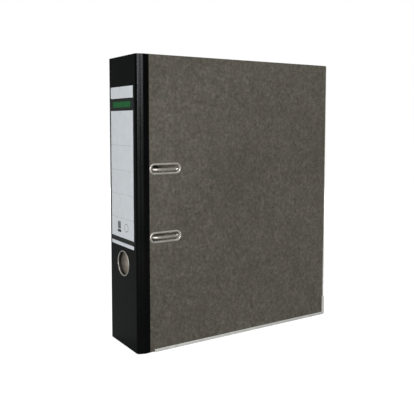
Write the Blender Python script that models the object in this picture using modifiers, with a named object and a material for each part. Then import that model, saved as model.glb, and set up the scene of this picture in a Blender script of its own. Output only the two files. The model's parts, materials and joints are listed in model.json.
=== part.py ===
"""Lever arch file, folio size: a board case that folds at four creases.

A lever arch mechanism is riveted inside its back cover, and its arches reach into two slots in
the front cover. The file stands on its bottom edge: +Z is up along the spine, -X is the spine's
side, +X the fore-edge, -Y the front cover and +Y the back cover. The origin is the middle of the
underside. Depths are measured from the spine's outer face, and from_spine turns them into X.
"""

import math

import bmesh
import bpy
from mathutils import Vector

MM = 0.001
WELD = 0.00001
GAP = 0.3 * MM  # between pieces that touch

# The case, over its covering
HEIGHT = 347 * MM
DEPTH = 290 * MM  # spine's face to the fore-edge
WIDTH = 80 * MM
STRIP_X, STRIP_Y = 8 * MM, 3 * MM  # how far a hinge strip runs in X and Y
BOARD = 2.5 * MM
CLOTH = 0.3 * MM
CREASE = 0.5 * MM  # open gap between two panels at a crease
COVER_SET_BACK = 0.9 * MM  # from a cover's crease to its board
LAP_END = 15 * MM  # the cloth laps this far onto each cover
EDGE_METAL = 0.5 * MM
BOARD_BOTTOM = EDGE_METAL + GAP
BOARD_END = DEPTH - EDGE_METAL - GAP

# Depths below the outermost surface of a panel
BOARD_OUT = CLOTH + GAP
BOARD_IN = BOARD_OUT + BOARD
COVER_OUT = WIDTH / 2 - BOARD_OUT
COVER_IN = WIDTH / 2 - BOARD_IN
COVER_START = STRIP_X + COVER_SET_BACK

# The spine's label and finger ring
LABEL_WIDTH, LABEL_PAPER = 62 * MM, 0.2 * MM
LABEL_LOW, LABEL_HIGH = 121.5 * MM, 311.8 * MM
RING_Z, RING_RADIUS, RING_BORE, RING_WALL = 100.8 * MM, 15.5 * MM, 14 * MM, 0.6 * MM
RING_PROUD = 0.9 * MM
WASHER_RADIUS = 16.2 * MM

# The arches, their posts and the cover's slots
RING_PITCH = 80 * MM
MIDDLE_Z = 174.5 * MM
ARCH_Z = (MIDDLE_Z + RING_PITCH / 2, MIDDLE_Z - RING_PITCH / 2)
WIRE = 2 * MM  # radius
ARCH_HALF, ARCH_RISE = 19 * MM, 18 * MM
ARCH_SQUARENESS = 3.5  # 2 is an ellipse, and more is flatter across the top
ARCH_MIDDLE_X = 39 * MM
POST_X, LEG_X = ARCH_MIDDLE_X + ARCH_HALF, ARCH_MIDDLE_X - ARCH_HALF
ARCH_CENTRE_Y = -18 * MM
ARCH_TIP_Y = -15.5 * MM
ARCH_AXIS_X, ARCH_AXIS_Y = 36 * MM, 29.4 * MM
CRANK_X, CRANK_HALF, CRANK_AXLE = 44 * MM, 8 * MM, 15 * MM
WIRE_BEND, CRANK_BEND = 4 * MM, 3 * MM
POST_RADIUS, COLLAR_RADIUS, COLLAR = 2.3 * MM, 4.2 * MM, 1.2 * MM
POST_TIP = 0.8 * MM
SLOT_X, SLOT_RAISE = 36.4 * MM, 1.2 * MM  # its middle, and how far it sits above its arch
SLOT_HALF, SLOT_RADIUS = 18.7 * MM, 4.35 * MM  # the eyelet's opening
EYELET_WALL, EYELET_FLANGE, EYELET_PROUD = 0.6 * MM, 2.3 * MM, 0.7 * MM

# The mechanism's base plate
PLATE = 1 * MM
TRAY_X = (10 * MM, 68 * MM)
TRAY_TOP_Y = 25.7 * MM
TRAY_HALF, FLANGE_HALF = 58 * MM, 68 * MM
RIVET_X, RIVET_HALF = (20 * MM, 58 * MM), 63 * MM
RIVET_RADIUS, RIVET_HEAD, RIVET_DOME = 1.6 * MM, 3.4 * MM, 0.9 * MM
LEG_ROOM = (4.2 * MM, 3 * MM)  # towards the spine and the fore-edge, as a leg swings
LEG_PLAY, WINDOW_PLAY = 0.8 * MM, (1.6 * MM, 1 * MM)
SADDLE_Z, SADDLE_WIDTH, SADDLE_SHEET = 28 * MM, 8 * MM, 0.8 * MM
LEAF, LEAF_WIDTH = 0.6 * MM, 6 * MM
LEAF_REST, LEAF_LIFT = 0.5 * MM, 0.4 * MM  # its gaps to the cover and to the crank
LEAF_ENDS = (-36 * MM, -26 * MM, -2 * MM, 5 * MM)  # two ends of its foot, then of its raised end

# The lever
LEVER_X = 41 * MM
LEVER_WIDTH, LEVER_SHEET = 11.6 * MM, 1 * MM
LEVER_AXIS_Y = 22 * MM
LEVER_WEB_Y, LEVER_FLOOR_Y = -4.2 * MM, 3 * MM  # its section, from its pin
LEVER_ARM, LEVER_NOSE, LEVER_TAPER = 54 * MM, (4 * MM, 6 * MM), 9 * MM
LEVER_NOSE_Y = LEVER_WEB_Y + 2.4 * MM
LEVER_HEEL, LEVER_LOBE = 3.2 * MM, 2.6 * MM
TAB_HALF_X, TAB_HALF_Z, TAB_ROUND, TAB_THICK = 7.5 * MM, 7 * MM, 5 * MM, 1.2 * MM
ROLLER_ARM = 18 * MM
LEVER_AXIS_Z = MIDDLE_Z + ROLLER_ARM
ROLLER_RADIUS = 3.5 * MM
ROLLER_Y = ARCH_AXIS_Y - WIRE - GAP - ROLLER_RADIUS
PIN_RADIUS, PIN_PLAY, PIN_HEAD = 1.5 * MM, 0.3 * MM, (2.6 * MM, 0.8 * MM)
ROLLER_PIN_RADIUS, ROLLER_PIN_HEAD = 1.2 * MM, (2 * MM, 0.6 * MM)
ROLLER_PLAY, ROLLER_CHAMFER = 0.4 * MM, 0.6 * MM
EAR_GAP, EAR_HALF = 0.4 * MM, 4 * MM

# The compressor bar
BAR_X = (50.7 * MM, 66 * MM)
BAR_HALF, BAR_THICK, BAR_ROUND = 55.5 * MM, 2 * MM, 5 * MM
RIB_HALF_X, RIB_HALF_Z, RIB_THICK, RIB_PROUD = 2.2 * MM, 31 * MM, 1.6 * MM, 1.2 * MM
RIB_OFFSET = 1 * MM
BAR_Y = TRAY_TOP_Y - GAP - COLLAR - GAP - BAR_THICK / 2
POST_PLAY = 0.4 * MM
CLAMP_THICK, CLAMP_HALF_X, CLAMP_HALF_Z, CLAMP_ROUND = 5 * MM, 5.8 * MM, 6 * MM, 2.5 * MM
CLAMP_OFFSET, CLAMP_EDGE = 0.9 * MM, 0.5 * MM

FINISHES = {  # sRGB colour, metallic, roughness
    "marbled_board": ((84, 80, 72), 0, 0.8),
    "spine_board": ((118, 112, 100), 0, 0.85),
    "black_cloth": ((30, 31, 30), 0, 0.6),
    "label_paper": ((196, 200, 204), 0, 0.55),
    "nickel": ((190, 186, 176), 1, 0.28),
    "edge_steel": ((185, 187, 182), 1, 0.35),
    "plated_steel": ((170, 172, 174), 1, 0.3),
    "spring_steel": ((120, 118, 112), 1, 0.35),
    "black_plastic": ((28, 28, 29), 0, 0.4),
}

FLAT = (0, 0, 0)  # outlines lie in XY and are thick along Z
COVERWISE = (math.pi / 2, 0, 0)  # outlines lie in XZ, local Z is -Y
SPINEWISE = (math.pi / 2, 0, math.pi / 2)  # outlines lie in YZ, local Z is +X
ACROSS = (0, -math.pi / 2, 0)  # local Z is -X


def from_spine(x):
    return x - (DEPTH - RING_PROUD) / 2


def clear_scene():
    for item in list(bpy.data.objects):
        bpy.data.objects.remove(item, do_unlink=True)


def new_collection(name):
    made = bpy.data.collections.new(name)
    bpy.context.scene.collection.children.link(made)
    return made


clear_scene()
PARTS = new_collection("lever_arch_file")
HELPERS = new_collection("cutters")


def linear(value):
    share = value / 255
    return share / 12.92 if share <= 0.04045 else ((share + 0.055) / 1.055) ** 2.4


def new_material(name):
    colour, metallic, roughness = FINISHES[name]
    material = bpy.data.materials.new(name)
    material.use_nodes = True
    shader = material.node_tree.nodes["Principled BSDF"]
    shader.inputs["Base Color"].default_value = (*(linear(c) for c in colour), 1)
    shader.inputs["Metallic"].default_value = metallic
    shader.inputs["Roughness"].default_value = roughness
    return material


MATERIALS = {name: new_material(name) for name in FINISHES}


def new_pivot(name, place, parent=None):
    """An empty on a joint's axis, which the pieces of a moving body hang from."""
    pivot = bpy.data.objects.new(name, None)
    PARTS.objects.link(pivot)
    pivot["place"] = place
    pivot.location = Vector(place) - Vector(parent["place"] if parent else (0, 0, 0))
    pivot.parent = parent
    return pivot


def add(name, mesh, place, finish=None, pivot=None, turn=FLAT):
    """Put a mesh in the model. Without a finish it is a helper that cuts or joins."""
    item = bpy.data.objects.new(name, mesh)
    item.rotation_euler = turn
    item.location = Vector(place) - Vector(pivot["place"] if pivot else (0, 0, 0))
    item.parent = pivot
    if finish:
        mesh.materials.append(MATERIALS[finish])
        PARTS.objects.link(item)
    else:
        item.hide_render = True
        item.display_type = "WIRE"
        HELPERS.objects.link(item)
    return item


def mesh_from(shape, name):
    mesh = bpy.data.meshes.new(name)
    shape.to_mesh(mesh)
    shape.free()
    return mesh


def block(name, low, high, **options):
    """A box between two corners, each given as depth from the spine, Y and Z."""
    shape = bmesh.new()
    bmesh.ops.create_cube(shape, size=1)
    low, high = (Vector((from_spine(x), y, z)) for x, y, z in (low, high))
    bmesh.ops.scale(shape, vec=high - low, verts=shape.verts)
    return add(name, mesh_from(shape, name), (low + high) / 2, **options)


def outline(name, rings, thickness, place, turn=FLAT, **options):
    """A flat plate from closed outlines, the first its edge and the others its holes."""
    curve = bpy.data.curves.new(name, "CURVE")
    curve.dimensions, curve.fill_mode, curve.extrude = "2D", "BOTH", thickness / 2
    for ring in rings:
        spline = curve.splines.new("POLY")
        spline.points.add(len(ring) - 1)
        for point, (x, y) in zip(spline.points, ring):
            point.co = (x, y, 0, 1)
        spline.use_cyclic_u = True
    return add(name, welded_mesh(curve, name), place, turn=turn, **options)


def evaluated_mesh(item):
    """An object's mesh with its modifiers or its curve applied. The object is removed."""
    graph = bpy.context.evaluated_depsgraph_get()
    mesh = bpy.data.meshes.new_from_object(item.evaluated_get(graph))
    bpy.data.objects.remove(item)
    return mesh


def shade_round(mesh, sharp=35):
    """Smooth shading, apart from edges that turn by more than an angle in degrees."""
    mesh.shade_smooth()
    mesh.set_sharp_from_angle(angle=math.radians(sharp))


def welded_mesh(curve, name):
    item = bpy.data.objects.new(name, curve)
    HELPERS.objects.link(item)
    mesh = evaluated_mesh(item)
    shape = bmesh.new()
    shape.from_mesh(mesh)
    bmesh.ops.remove_doubles(shape, verts=shape.verts, dist=WELD)
    bmesh.ops.recalc_face_normals(shape, faces=shape.faces)
    shape.to_mesh(mesh)
    shape.free()
    return mesh


def arc(centre, radius, start, end, steps):
    """Points on an arc in a plane, from one angle to another, both in degrees."""
    angles = (math.radians(start + (end - start) * i / steps) for i in range(steps + 1))
    return [(centre[0] + radius * math.cos(a), centre[1] + radius * math.sin(a)) for a in angles]


def rounded_box(half_x, half_y, radius, steps=6):
    corners = ((1, 1, 0), (-1, 1, 90), (-1, -1, 180), (1, -1, 270))
    return [
        point
        for x, y, start in corners
        for point in arc((x * (half_x - radius), y * (half_y - radius)), radius, start, start + 90, steps)
    ]


def circle(radius, centre=(0, 0), steps=24):
    return arc(centre, radius, 0, 360, steps)[:-1]


def filleted(corners, radius, steps=4):
    """A path through corners, with an arc of one radius at each inner corner."""
    path = [Vector(corners[0])]
    for before, corner, after in zip(corners, corners[1:], corners[2:]):
        corner = Vector(corner)
        back, on = (Vector(before) - corner).normalized(), (Vector(after) - corner).normalized()
        half = back.angle(on) / 2
        centre = corner + (back + on).normalized() * radius / math.sin(half)
        ends = (corner + way * radius / math.tan(half) - centre for way in (back, on))
        first, last = (end.normalized() for end in ends)
        path += [centre + first.slerp(last, i / steps) * radius for i in range(steps + 1)]
    return path + [Vector(corners[-1])]


def wire(name, path, radius, place, finish, pivot=None, sides=3):
    """A round wire along a path, with flat closed ends."""
    curve = bpy.data.curves.new(name, "CURVE")
    curve.dimensions, curve.fill_mode, curve.use_fill_caps = "3D", "FULL", True
    curve.bevel_depth, curve.bevel_resolution = radius, sides
    spline = curve.splines.new("POLY")
    spline.points.add(len(path) - 1)
    for point, where in zip(spline.points, path):
        point.co = (*where, 1)
    mesh = welded_mesh(curve, name)
    shade_round(mesh, 50)
    return add(name, mesh, place, finish, pivot)


def turned(name, profile, place, turn, steps=24, closed=False, **options):
    """A turned solid: a profile of radius and height, down its outer side, round local Z."""
    shape = bmesh.new()
    points = [shape.verts.new((radius, 0, height)) for radius, height in profile]
    for one, other in zip(points, points[1:]):
        shape.edges.new((one, other))
    if closed:
        shape.edges.new((points[-1], points[0]))
    item = bpy.data.objects.new(name, mesh_from(shape, name))
    HELPERS.objects.link(item)
    screw = item.modifiers.new("turn", "SCREW")
    screw.steps = screw.render_steps = steps
    screw.use_merge_vertices, screw.merge_threshold = True, WELD
    mesh = evaluated_mesh(item)
    shade_round(mesh)
    return add(name, mesh, place, turn=turn, **options)


def cut(item, tool, operation="DIFFERENCE"):
    change = item.modifiers.new(tool.name, "BOOLEAN")
    change.operation, change.object = operation, tool


def join(item, other):
    cut(item, other, "UNION")


def soften(item, width, segments=1):
    bevel = item.modifiers.new("edges", "BEVEL")
    bevel.width, bevel.segments, bevel.limit_method = width, segments, "ANGLE"


# Creases: the spine's outer corner and the cover's outer corner, on the side of each cover
FRONT, BACK = -1, 1
SIDES = {"front": FRONT, "back": BACK}
SPINE_TURN = math.atan2(STRIP_X, STRIP_Y)  # between the spine and a hinge strip
COVER_TURN = math.pi / 2 - SPINE_TURN  # between a hinge strip and its cover


def spine_corner(side):
    return Vector((0, side * (WIDTH / 2 - STRIP_Y)))


def cover_corner(side):
    return Vector((STRIP_X, side * WIDTH / 2))


def panel_section(start, end, inward, turns, depths):
    """A panel's section in XY: mitred at both creases and open there by half a crease."""
    along = (end - start).normalized()
    outer, inner = depths
    section = []
    for depth, corner, turn, way in (
        (outer, start, turns[0], along),
        (outer, end, turns[1], -along),
        (inner, end, turns[1], -along),
        (inner, start, turns[0], along),
    ):
        section.append(corner + inward * depth + way * (depth * math.tan(turn / 2) + CREASE / 2))
    return [(from_spine(x), y) for x, y in section]


def upright(name, section, finish, pivot):
    """A panel's section drawn up to the case's height."""
    height = HEIGHT - BOARD_BOTTOM
    centre_x = sum(x for x, _ in section) / len(section)
    centre_y = sum(y for _, y in section) / len(section)
    local = [(x - centre_x, y - centre_y) for x, y in section]
    place = (centre_x, centre_y, BOARD_BOTTOM + height / 2)
    return outline(name, [local], height, place, finish=finish, pivot=pivot)


def make_spine():
    ends, inward = (spine_corner(FRONT), spine_corner(BACK)), Vector((1, 0))
    turns = (SPINE_TURN, SPINE_TURN)
    for name, depths, finish in (
        ("spine_board", (BOARD_OUT, BOARD_IN), "spine_board"),
        ("spine_cloth", (0, CLOTH), "black_cloth"),
    ):
        item = upright(name, panel_section(*ends, inward, turns, depths), finish, None)
        hole = [circle(RING_BORE + RING_WALL + GAP, steps=32)]
        place = (from_spine(BOARD_IN / 2), 0, RING_Z)
        cut(item, outline(name + "_hole", hole, 4 * BOARD_IN, place, turn=SPINEWISE))
    block(
        "spine_label",
        (-GAP - LABEL_PAPER, -LABEL_WIDTH / 2, LABEL_LOW),
        (-GAP, LABEL_WIDTH / 2, LABEL_HIGH),
        finish="label_paper",
    )


def make_finger_ring():
    """A flanged ring from outside, and the washer that it is clinched to inside."""
    barrel, rim = RING_BORE + RING_WALL, RING_PROUD - GAP
    end = -(BOARD_IN + GAP + RING_PROUD)
    profile = [
        (RING_BORE, GAP + rim / 2),
        (RING_BORE + rim / 2, GAP + rim),
        (RING_RADIUS - rim / 2, GAP + rim),
        (RING_RADIUS, GAP + rim / 2),
        (RING_RADIUS - rim / 4, GAP),
        (barrel, GAP),
        (barrel, end),
        (RING_BORE, end),
    ]
    centre = (from_spine(0), 0, RING_Z)
    turned("finger_ring", profile, centre, ACROSS, steps=40, closed=True, finish="nickel")
    top, low = -BOARD_IN - GAP, end + GAP
    washer = [
        (barrel + GAP, top),
        (WASHER_RADIUS, top),
        (WASHER_RADIUS - GAP, low),
        (barrel + GAP, low),
    ]
    turned("finger_ring_washer", washer, centre, ACROSS, steps=40, closed=True, finish="nickel")


def make_hinge_strip(word, side, pivot):
    start, end = spine_corner(side), cover_corner(side)
    along = (end - start).normalized()
    inward = Vector((along.y, -along.x)) * side
    turns = (SPINE_TURN, COVER_TURN)
    for name, depths, finish in (
        ("hinge_board", (BOARD_OUT, BOARD_IN), "spine_board"),
        ("hinge_cloth", (0, CLOTH), "black_cloth"),
    ):
        section = panel_section(start, end, inward, turns, depths)
        upright(f"{word}_{name}", section, finish, pivot)


def across(side, near, far):
    """Two distances from the middle plane as a low and a high Y on one side."""
    return sorted((side * near, side * far))


def make_cover(word, side, pivot):
    low, high = across(side, COVER_IN, COVER_OUT)
    cover = block(
        f"{word}_cover",
        (COVER_START, low, BOARD_BOTTOM),
        (BOARD_END, high, HEIGHT),
        finish="marbled_board",
        pivot=pivot,
    )
    low, high = across(side, WIDTH / 2 - CLOTH, WIDTH / 2)
    block(
        f"{word}_cover_cloth",
        (STRIP_X + CREASE / 2, low, BOARD_BOTTOM),
        (LAP_END, high, HEIGHT),
        finish="black_cloth",
        pivot=pivot,
    )
    make_edge_protector(word, side, pivot)
    return cover


PROTECTOR_START, PROTECTOR_LIP = 21 * MM, 3.5 * MM
PROTECTOR_RISE, PROTECTOR_SIDE, PROTECTOR_ROUND = 26 * MM, 4 * MM, 2 * MM


def make_edge_protector(word, side, pivot):
    """A folded steel edge along the cover's bottom, which turns up round its outer corner."""
    length = DEPTH - PROTECTOR_START
    corner = arc((length - PROTECTOR_ROUND, PROTECTOR_ROUND), PROTECTOR_ROUND, -90, 0, 6)
    ring = [(0, 0), *corner, (length, PROTECTOR_RISE), (length - PROTECTOR_SIDE, PROTECTOR_RISE)]
    ring += [(length - PROTECTOR_SIDE, PROTECTOR_LIP), (0, PROTECTOR_LIP)]
    fold = GAP + EDGE_METAL
    inner, outer = COVER_IN - fold, COVER_OUT + fold
    place = (from_spine(PROTECTOR_START), side * (inner + outer) / 2, 0)
    name = f"{word}_edge_protector"
    options = {"turn": COVERWISE, "finish": "edge_steel", "pivot": pivot}
    protector = outline(name, [ring], outer - inner, place, **options)
    low, high = across(side, COVER_IN - GAP, COVER_OUT + GAP)
    room = block(
        f"{name}_room",
        (0, low, EDGE_METAL),
        (DEPTH - EDGE_METAL, high, HEIGHT),
        pivot=pivot,
    )
    cut(protector, room)


def slot_ring(grow):
    """A slot's outline, with round ends, this much larger than the eyelet's opening."""
    return rounded_box(SLOT_HALF + grow, SLOT_RADIUS + grow, SLOT_RADIUS + grow)


def make_slot_eyelets(cover, pivot):
    """A slot in the front cover for each arch, lined with an eyelet that is flanged on both faces."""
    faces = COVER_OUT + GAP, COVER_IN - GAP
    for word, z in zip(("upper", "lower"), ARCH_Z):
        name = f"slot_eyelet_{word}"
        z += SLOT_RAISE
        middle = (from_spine(SLOT_X), -(COVER_OUT + COVER_IN) / 2, z)
        hole = [slot_ring(EYELET_WALL + GAP)]
        options = {"turn": COVERWISE, "pivot": pivot}
        cut(cover, outline(f"{name}_hole", hole, 4 * BOARD, middle, **options))
        eyelet = outline(
            name,
            [slot_ring(EYELET_WALL), slot_ring(0)],
            faces[0] - faces[1] + EYELET_WALL,
            middle,
            finish="nickel",
            **options,
        )
        for face, way, flange in ((faces[0], 1, EYELET_FLANGE), (faces[1], -1, EYELET_FLANGE * 0.8)):
            place = (middle[0], -(face + way * EYELET_PROUD / 2), z)
            rings = [slot_ring(flange), slot_ring(0)]
            join(eyelet, outline(f"{name}_flange_{way}", rings, EYELET_PROUD, place, **options))


def make_base_plate(back_cover, pivot):
    """A raised pressed tray with a flange at each end, ears for the lever and room for the wire."""
    foot_y = COVER_IN - GAP
    options = {"pivot": pivot}
    plate = block(
        "base_plate",
        (TRAY_X[0], TRAY_TOP_Y, MIDDLE_Z - TRAY_HALF),
        (TRAY_X[1], foot_y, MIDDLE_Z + TRAY_HALF),
        finish="plated_steel",
        **options,
    )
    cut(
        plate,
        block(
            "base_plate_room",
            (TRAY_X[0] + PLATE, TRAY_TOP_Y + PLATE, MIDDLE_Z - TRAY_HALF + PLATE),
            (TRAY_X[1] - PLATE, WIDTH, MIDDLE_Z + TRAY_HALF - PLATE),
            **options,
        ),
    )
    for way in (-1, 1):
        ends = sorted((MIDDLE_Z + way * (TRAY_HALF - PLATE / 2), MIDDLE_Z + way * FLANGE_HALF))
        flange = block(
            f"base_plate_flange_{way}",
            (TRAY_X[0], foot_y - PLATE, ends[0]),
            (TRAY_X[1], foot_y, ends[1]),
            **options,
        )
        join(plate, flange)
        near = LEVER_X + way * (LEVER_WIDTH / 2 + EAR_GAP)
        join(plate, make_ear(way, sorted((near, near + way * PLATE)), pivot))
    pin_hole = circle(PIN_RADIUS + PIN_PLAY)
    place = (from_spine(LEVER_X), LEVER_AXIS_Y, LEVER_AXIS_Z)
    ears_hole = outline(
        "base_plate_pin_hole", [pin_hole], 3 * LEVER_WIDTH, place, turn=SPINEWISE, **options
    )
    cut(plate, ears_hole)
    for word, z in zip(("upper", "lower"), ARCH_Z):
        slot = block(
            f"base_plate_leg_slot_{word}",
            (LEG_X - LEG_ROOM[0], TRAY_TOP_Y - PLATE, z - WIRE - LEG_PLAY),
            (LEG_X + LEG_ROOM[1], TRAY_TOP_Y + 2 * PLATE, z + WIRE + LEG_PLAY),
            **options,
        )
        cut(plate, slot)
    window_half_x = LEVER_WIDTH / 2 + WINDOW_PLAY[0]
    window_half_z = CRANK_HALF + WIRE + WINDOW_PLAY[1]
    window = block(
        "base_plate_window",
        (LEVER_X - window_half_x, TRAY_TOP_Y - PLATE / 2, MIDDLE_Z - window_half_z),
        (LEVER_X + window_half_x, TRAY_TOP_Y + 2 * PLATE, MIDDLE_Z + window_half_z),
        **options,
    )
    cut(plate, window)
    make_rivets(plate, back_cover, pivot)


def make_ear(way, x_range, pivot):
    """One of the two lugs that hold the lever's pin: round-topped, standing on the tray."""
    foot = LEVER_AXIS_Y - TRAY_TOP_Y - PLATE / 2
    ring = [(-foot, -EAR_HALF), *arc((0, 0), EAR_HALF, 270, 90, 10), (-foot, EAR_HALF)]
    place = (from_spine(sum(x_range) / 2), LEVER_AXIS_Y, LEVER_AXIS_Z)
    name = f"base_plate_ear_{way}"
    return outline(name, [ring], PLATE, place, turn=SPINEWISE, pivot=pivot)


def make_rivets(plate, back_cover, pivot):
    """Four rivets through the plate's flanges and the back cover, with a low dome outside."""
    inside = COVER_IN - GAP - PLATE - GAP
    outside = COVER_OUT + GAP
    length = outside - inside
    number = 0
    for z in (MIDDLE_Z + RIVET_HALF, MIDDLE_Z - RIVET_HALF):
        for x in RIVET_X:
            number += 1
            place = (from_spine(x), inside, z)
            profile = [
                (0, RIVET_DOME),
                (RIVET_HEAD * 0.6, RIVET_DOME * 0.85),
                (RIVET_HEAD, RIVET_DOME * 0.2),
                (RIVET_HEAD, 0),
                (RIVET_RADIUS, 0),
                (RIVET_RADIUS, -length),
                (RIVET_HEAD, -length),
                (RIVET_HEAD, -length - EYELET_PROUD * 0.2),
                (RIVET_HEAD * 0.6, -length - EYELET_PROUD * 0.85),
                (0, -length - EYELET_PROUD),
            ]
            options = {"finish": "plated_steel", "pivot": pivot, "steps": 20}
            turned(f"base_rivet_{number}", profile, place, COVERWISE, **options)
            for item in (plate, back_cover):
                name = f"{item.name}_rivet_hole_{number}"
                hole = [circle(RIVET_RADIUS + PIN_PLAY)]
                middle = (place[0], COVER_OUT if item is back_cover else inside + PLATE, z)
                thick = 4 * BOARD if item is back_cover else 2.4 * PLATE
                cut(item, outline(name, hole, thick, middle, turn=COVERWISE, pivot=pivot))


def make_posts(pivot):
    """Two straight posts on the tray, which the arches' tips meet."""
    foot = TRAY_TOP_Y - GAP
    top = foot - (ARCH_TIP_Y + GAP)
    profile = [
        (0, top),
        (POST_RADIUS - POST_TIP, top),
        (POST_RADIUS, top - POST_TIP),
        (POST_RADIUS, COLLAR),
        (COLLAR_RADIUS, COLLAR),
        (COLLAR_RADIUS, 0),
        (0, 0),
    ]
    for word, z in zip(("upper", "lower"), ARCH_Z):
        options = {"finish": "nickel", "pivot": pivot, "steps": 20}
        turned(f"post_{word}", profile, (from_spine(POST_X), foot, z), COVERWISE, **options)


def bow(steps=24):
    """An arch's outline from its post over its flattened top to its leg: half a superellipse."""
    power = 2 / ARCH_SQUARENESS
    points = []
    for i in range(steps + 1):
        angle = math.pi * i / steps
        side = math.copysign(abs(math.cos(angle)) ** power, math.cos(angle))
        rise = abs(math.sin(angle)) ** power
        points.append((ARCH_MIDDLE_X + ARCH_HALF * side, ARCH_CENTRE_Y - ARCH_RISE * rise))
    return points


def make_arch_wire(pivot):
    """One wire: both arches, their legs, the axle under the tray and the crank in its middle."""
    arches = [[(POST_X, ARCH_TIP_Y, z), *((x, y, z) for x, y in bow())] for z in ARCH_Z]
    crank = [MIDDLE_Z + CRANK_HALF, MIDDLE_Z - CRANK_HALF]
    y = ARCH_AXIS_Y
    feet = filleted(
        [
            arches[0][-1],
            (LEG_X, y, ARCH_Z[0]),
            (ARCH_AXIS_X, y, ARCH_Z[0]),
            (ARCH_AXIS_X, y, MIDDLE_Z + CRANK_AXLE),
        ],
        WIRE_BEND,
    )
    throw = filleted(
        [
            feet[-1],
            (ARCH_AXIS_X, y, crank[0]),
            (CRANK_X, y, crank[0]),
            (CRANK_X, y, crank[1]),
            (ARCH_AXIS_X, y, crank[1]),
            (ARCH_AXIS_X, y, MIDDLE_Z - CRANK_AXLE),
        ],
        CRANK_BEND,
    )
    low_feet = filleted(
        [throw[-1], (ARCH_AXIS_X, y, ARCH_Z[1]), (LEG_X, y, ARCH_Z[1]), arches[1][-1]],
        WIRE_BEND,
    )
    path = [*arches[0][:-1], *feet[:-1], *throw[:-1], *low_feet[:-1], *arches[1][::-1]]
    axis = Vector((ARCH_AXIS_X, ARCH_AXIS_Y, MIDDLE_Z))
    local = [Vector(point) - axis for point in path]
    place = (from_spine(ARCH_AXIS_X), ARCH_AXIS_Y, MIDDLE_Z)
    wire("arch_wire", local, WIRE, place, "nickel", pivot)


def make_arch_saddles(pivot):
    """Two straps under the tray that the wire's axle turns in."""
    bore, outer = WIRE + GAP, WIRE + GAP + SADDLE_SHEET
    rise = ARCH_AXIS_Y - TRAY_TOP_Y - PLATE - GAP
    ring = [
        (-outer, -rise),
        *arc((0, 0), outer, 180, 0, 10),
        (outer, -rise),
        (bore, -rise),
        *arc((0, 0), bore, 0, 180, 10),
        (-bore, -rise),
    ]
    for word, way in (("upper", 1), ("lower", -1)):
        place = (from_spine(ARCH_AXIS_X), ARCH_AXIS_Y, MIDDLE_Z + way * SADDLE_Z)
        options = {"finish": "plated_steel", "pivot": pivot}
        outline(f"arch_saddle_{word}", [ring], SADDLE_WIDTH, place, **options)


def make_arch_spring(pivot):
    """A leaf that lies on the back cover and rises under the crank, which it lifts."""
    high = ARCH_AXIS_Y + WIRE + LEAF_LIFT
    low = COVER_IN - LEAF_REST - LEAF
    route = list(zip((low, low, high, high), LEAF_ENDS))
    under = [(y + LEAF, z) for y, z in reversed(route)]
    place = (from_spine(CRANK_X), 0, MIDDLE_Z)
    options = {"turn": SPINEWISE, "finish": "spring_steel", "pivot": pivot}
    outline("arch_spring", [route + under], LEAF_WIDTH, place, **options)


def make_lever(pivot):
    """A pressed channel on a pin: its walls hold the roller, and its web widens to a thumb tab."""
    roller_y = ROLLER_Y - LEVER_AXIS_Y
    ring = [
        *arc((0, 0), LEVER_HEEL, 0, 100, 8),
        (LEVER_WEB_Y, 0),
        (LEVER_WEB_Y, LEVER_NOSE[0] - LEVER_ARM),
        (LEVER_WEB_Y + LEVER_SHEET, LEVER_NOSE[0] - LEVER_ARM),
        (LEVER_NOSE_Y, LEVER_NOSE[1] - LEVER_ARM),
        (LEVER_FLOOR_Y, -ROLLER_ARM - LEVER_TAPER),
        (LEVER_FLOOR_Y, -ROLLER_ARM - LEVER_LOBE),
        *arc((roller_y, -ROLLER_ARM), LEVER_LOBE, -60, 60, 6),
        (LEVER_FLOOR_Y, -ROLLER_ARM + LEVER_LOBE),
        (LEVER_FLOOR_Y, -LEVER_HEEL),
    ]
    centre = Vector((from_spine(LEVER_X), LEVER_AXIS_Y, LEVER_AXIS_Z))
    options = {"turn": SPINEWISE, "pivot": pivot}
    lever = outline("lever", [ring], LEVER_WIDTH, centre, finish="nickel", **options)
    web_y, room_half = LEVER_AXIS_Y + LEVER_WEB_Y, LEVER_WIDTH / 2 - LEVER_SHEET
    room = block(
        "lever_room",
        (LEVER_X - room_half, web_y + LEVER_SHEET, MIDDLE_Z - LEVER_ARM),
        (LEVER_X + room_half, WIDTH / 2, HEIGHT),
        pivot=pivot,
    )
    cut(lever, room)
    tab = rounded_box(TAB_HALF_X, TAB_HALF_Z, TAB_ROUND)
    place = (from_spine(LEVER_X), web_y + TAB_THICK / 2, LEVER_AXIS_Z - LEVER_ARM + TAB_HALF_Z)
    join(lever, outline("lever_tab", [tab], TAB_THICK, place, turn=COVERWISE, pivot=pivot))
    for name, radius, y, arm in (
        ("lever_pin_hole", PIN_RADIUS, 0, 0),
        ("lever_roller_hole", ROLLER_PIN_RADIUS, roller_y, ROLLER_ARM),
    ):
        middle = centre + Vector((0, y, -arm))
        cut(lever, outline(name, [circle(radius + PIN_PLAY)], 3 * LEVER_WIDTH, middle, **options))


def pin(name, radius, head_size, half, place, pivot):
    """A pin across the lever, with a head of a radius and a height at each end."""
    head_radius, head = head_size
    profile = [
        (0, half + head),
        (head_radius - head / 2, half + head),
        (head_radius, half + head / 2),
        (head_radius, half),
        (radius, half),
        (radius, -half),
        (head_radius, -half),
        (head_radius, -half - head / 2),
        (head_radius - head / 2, -half - head),
        (0, -half - head),
    ]
    turned(name, profile, place, ACROSS, steps=16, finish="plated_steel", pivot=pivot)


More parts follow.
